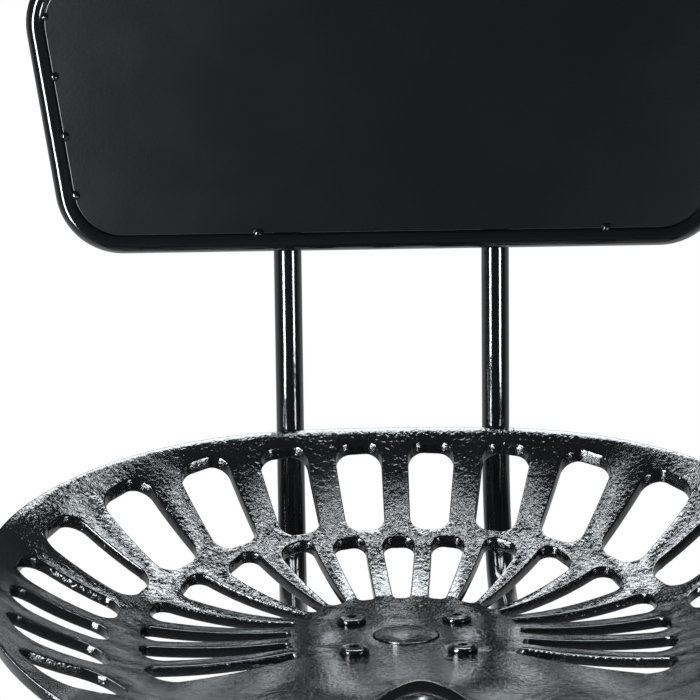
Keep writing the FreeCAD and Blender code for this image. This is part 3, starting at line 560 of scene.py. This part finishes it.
class STOOL_OT_carried(bpy.types.Operator):
    """Smooth the turned, bent and drilled pieces and give them their finishes"""
    bl_idname = "stool.carried"
    bl_label = "Bar, tube and hardware"

    def execute(self, context):
        slots = {entry["node"]: entry["material_slot"] for entry in frame["record"]["subparts"]}
        own = {"seat_casting", "seat_bolts", "spindle"} | set(WELDS)
        for body, members in frame["record"]["behaviour"]["bodies"].items():
            for node in members:
                if node in own:
                    continue
                piece = copy_node(node, node + "_finished")
                smooth(piece)
                settle(piece, body, slots[node], node)
        return {"FINISHED"}


# Stage

def lamp(name, place, target, width, height, power, colour):
    """A soft rectangular lamp that faces a point."""
    bpy.ops.object.light_add(type="AREA", location=place)
    light = bpy.context.active_object
    light.name = name
    light.data.shape = "RECTANGLE"
    light.data.size = width
    light.data.size_y = height
    light.data.energy = power
    light.data.color = colour
    light.visible_camera = False
    direction = Vector(target) - Vector(place)
    light.rotation_euler = direction.to_track_quat("-Z", "Y").to_euler()


def calculate(nodes, links, operation, first, second):
    """A math node on two outputs."""
    node = nodes.new("ShaderNodeMath")
    node.operation = operation
    links.new(first, node.inputs[0])
    links.new(second, node.inputs[1])
    return node.outputs[0]


def blend(nodes, links, share, first, second):
    """A mix of two shaders: the second one's share comes from an output."""
    mix = nodes.new("ShaderNodeMixShader")
    links.new(share, mix.inputs["Fac"])
    links.new(first, mix.inputs[1])
    links.new(second, mix.inputs[2])
    return mix.outputs[0]


def glow(nodes, kind, colour, strength):
    """A background or emission with its colour and strength."""
    node = nodes.new(kind)
    node.inputs["Color"].default_value = (*colour, 1)
    node.inputs["Strength"].default_value = strength
    return node.outputs[0]


def climb(nodes, links, value, start, end, low, high):
    """Low where a value is at its start, high at its end, and even between them."""
    ramp = nodes.new("ShaderNodeMapRange")
    ramp.inputs["From Min"].default_value = start
    ramp.inputs["From Max"].default_value = end
    ramp.inputs["To Min"].default_value = low
    ramp.inputs["To Max"].default_value = high
    links.new(value, ramp.inputs["Value"])
    return ramp.outputs["Result"]


def shown_ray(nodes, links, path, gloss_share):
    """1 for a ray from the camera or through glass; off a gloss, as much as a share says; else 0."""
    shown = calculate(nodes, links, "MULTIPLY", path.outputs["Is Glossy Ray"], gloss_share)
    for kind in ("Is Camera Ray", "Is Transmission Ray"):
        shown = calculate(nodes, links, "MAXIMUM", shown, path.outputs[kind])
    return shown


def floor_paint(look):
    """Pale floor that fades to white away from the stool. A gloss sees it dim in front."""
    material, shader = new_finish("studio floor", (0.72, 0.72, 0.72), roughness=0.9, specular=0.1)
    nodes, links = material.node_tree.nodes, material.node_tree.links
    places = nodes.new("ShaderNodeTexCoord").outputs["Object"]
    path = nodes.new("ShaderNodeLightPath")
    distance = nodes.new("ShaderNodeVectorMath")
    distance.operation = "LENGTH"
    links.new(places, distance.inputs[0])
    apart = nodes.new("ShaderNodeSeparateXYZ")
    links.new(places, apart.inputs[0])
    depth = apart.outputs["Y"]
    far = climb(nodes, links, distance.outputs["Value"], start=0.45, end=1.4, low=0, high=1)
    behind = climb(nodes, links, depth, start=0.0, end=1.0, low=0.02, high=look.white_share)
    front = climb(nodes, links, depth, start=-1.2, end=0.1, low=0.8, high=0)
    shown = shown_ray(nodes, links, path, behind)
    white_part = calculate(nodes, links, "MULTIPLY", far, shown)
    dim_part = calculate(nodes, links, "MULTIPLY", path.outputs["Is Glossy Ray"], front)
    white = glow(nodes, "ShaderNodeEmission", colour=(1, 1, 1), strength=1.0)
    dim = glow(nodes, "ShaderNodeEmission", colour=(1, 1, 1), strength=0.02)
    paint = blend(nodes, links, white_part, shader.outputs[0], white)
    paint = blend(nodes, links, dim_part, paint, dim)
    links.new(paint, nodes["Material Output"].inputs["Surface"])
    return material


def studio_world(look):
    """White background low down, and a darker room above it and on the camera's side."""
    world = bpy.data.worlds.new("studio")
    world.use_nodes = True
    nodes, links = world.node_tree.nodes, world.node_tree.links
    plain = nodes["Background"]
    plain.inputs["Color"].default_value = (1, 1, 1, 1)
    plain.inputs["Strength"].default_value = look.fill
    path = nodes.new("ShaderNodeLightPath")
    apart = nodes.new("ShaderNodeSeparateXYZ")
    links.new(nodes.new("ShaderNodeTexCoord").outputs["Generated"], apart.inputs[0])
    low_down = climb(nodes, links, apart.outputs["Z"], start=0.02, end=0.20, low=1, high=0.08)
    behind = climb(nodes, links, apart.outputs["Y"], start=-0.2, end=0.6, low=0.05, high=look.white_share)
    backdrop = calculate(nodes, links, "MULTIPLY", low_down, behind)
    shown = shown_ray(nodes, links, path, backdrop)
    white = glow(nodes, "ShaderNodeBackground", colour=(1, 1, 1), strength=1.0)
    room = glow(nodes, "ShaderNodeBackground", colour=(0.80, 0.90, 1), strength=look.room)
    unseen = blend(nodes, links, path.outputs["Is Glossy Ray"], plain.outputs[0], room)
    seen = blend(nodes, links, shown, unseen, white)
    links.new(seen, nodes["World Output"].inputs["Surface"])
    return world


def add_camera(look):
    """The camera at the photograph's viewing angle."""
    bpy.ops.object.camera_add(location=look.camera_place)
    camera = bpy.context.active_object
    facing = Euler((math.pi / 2 - look.camera_dip, 0, -look.camera_turn)).to_matrix()
    camera.rotation_euler = (facing @ Matrix.Rotation(look.camera_roll, 3, "Z")).to_euler()
    camera.name = "camera"
    camera.data.lens = look.lens
    camera.data.sensor_width = 36.0
    camera.data.clip_end = 100.0
    return camera


class STOOL_OT_stage(bpy.types.Operator):
    """Lay the floor, hang the lamps and set the camera"""
    bl_idname = "stool.stage"
    bl_label = "Stage"

    def execute(self, context):
        look = context.scene.stool.stage
        bpy.ops.object.select_all(action="DESELECT")
        bpy.ops.mesh.primitive_circle_add(vertices=96, radius=look.floor_radius, fill_type="NGON")
        floor = bpy.context.active_object
        floor.name = "floor"
        floor.data.materials.append(floor_paint(look))
        context.scene.world = studio_world(look)
        lamp("strip_left", place=(-0.457, -0.36, 0.845), target=(0, 0.16, 0.845), width=0.16, height=0.61,
             power=look.left_power, colour=look.lamp_colour)
        lamp("strip_right", place=(0.457, -0.36, 0.63), target=(0, 0.16, 0.63), width=0.16, height=0.18,
             power=look.right_power, colour=look.lamp_colour)
        lamp("overhead", place=(0, 0.73, 2.05), target=(0, 0.60, 0.65), width=1.7, height=1.07,
             power=look.overhead_power, colour=look.lamp_colour)
        context.scene.camera = add_camera(look)
        context.scene.view_settings.view_transform = "Standard"
        return {"FINISHED"}


class STOOL_PT_panel(bpy.types.Panel):
    """The stool's settings and steps"""
    bl_label = "Tractor seat stool"
    bl_idname = "STOOL_PT_panel"
    bl_space_type = "VIEW_3D"
    bl_region_type = "UI"
    bl_category = "Stool"

    def draw(self, context):
        settings = context.scene.stool
        for group in (settings.casting, settings.finishes, settings.hardware, settings.stage):
            box = self.layout.box()
            for name in group.__annotations__:
                box.prop(group, name)
        for step in STEPS:
            self.layout.operator(step.bl_idname)


GROUPS = (CastingSettings, FinishSettings, HardwareSettings, StageSettings, StoolSettings)
STEPS = (STOOL_OT_finishes, STOOL_OT_seat, STOOL_OT_bolts, STOOL_OT_spindle, STOOL_OT_welds,
         STOOL_OT_carried, STOOL_OT_stage)


def register():
    for entry in GROUPS + STEPS + (STOOL_PT_panel,):
        bpy.utils.register_class(entry)
    bpy.types.Scene.stool = PointerProperty(type=StoolSettings)


def unregister():
    del bpy.types.Scene.stool
    for entry in reversed(GROUPS + STEPS + (STOOL_PT_panel,)):
        bpy.utils.unregister_class(entry)


def main():
    register()
    bpy.ops.stool.finishes()
    bpy.ops.stool.seat()
    bpy.ops.stool.bolts()
    bpy.ops.stool.spindle()
    bpy.ops.stool.welds()
    bpy.ops.stool.carried()
    bpy.ops.stool.stage()


if __name__ == "__main__":
    main()
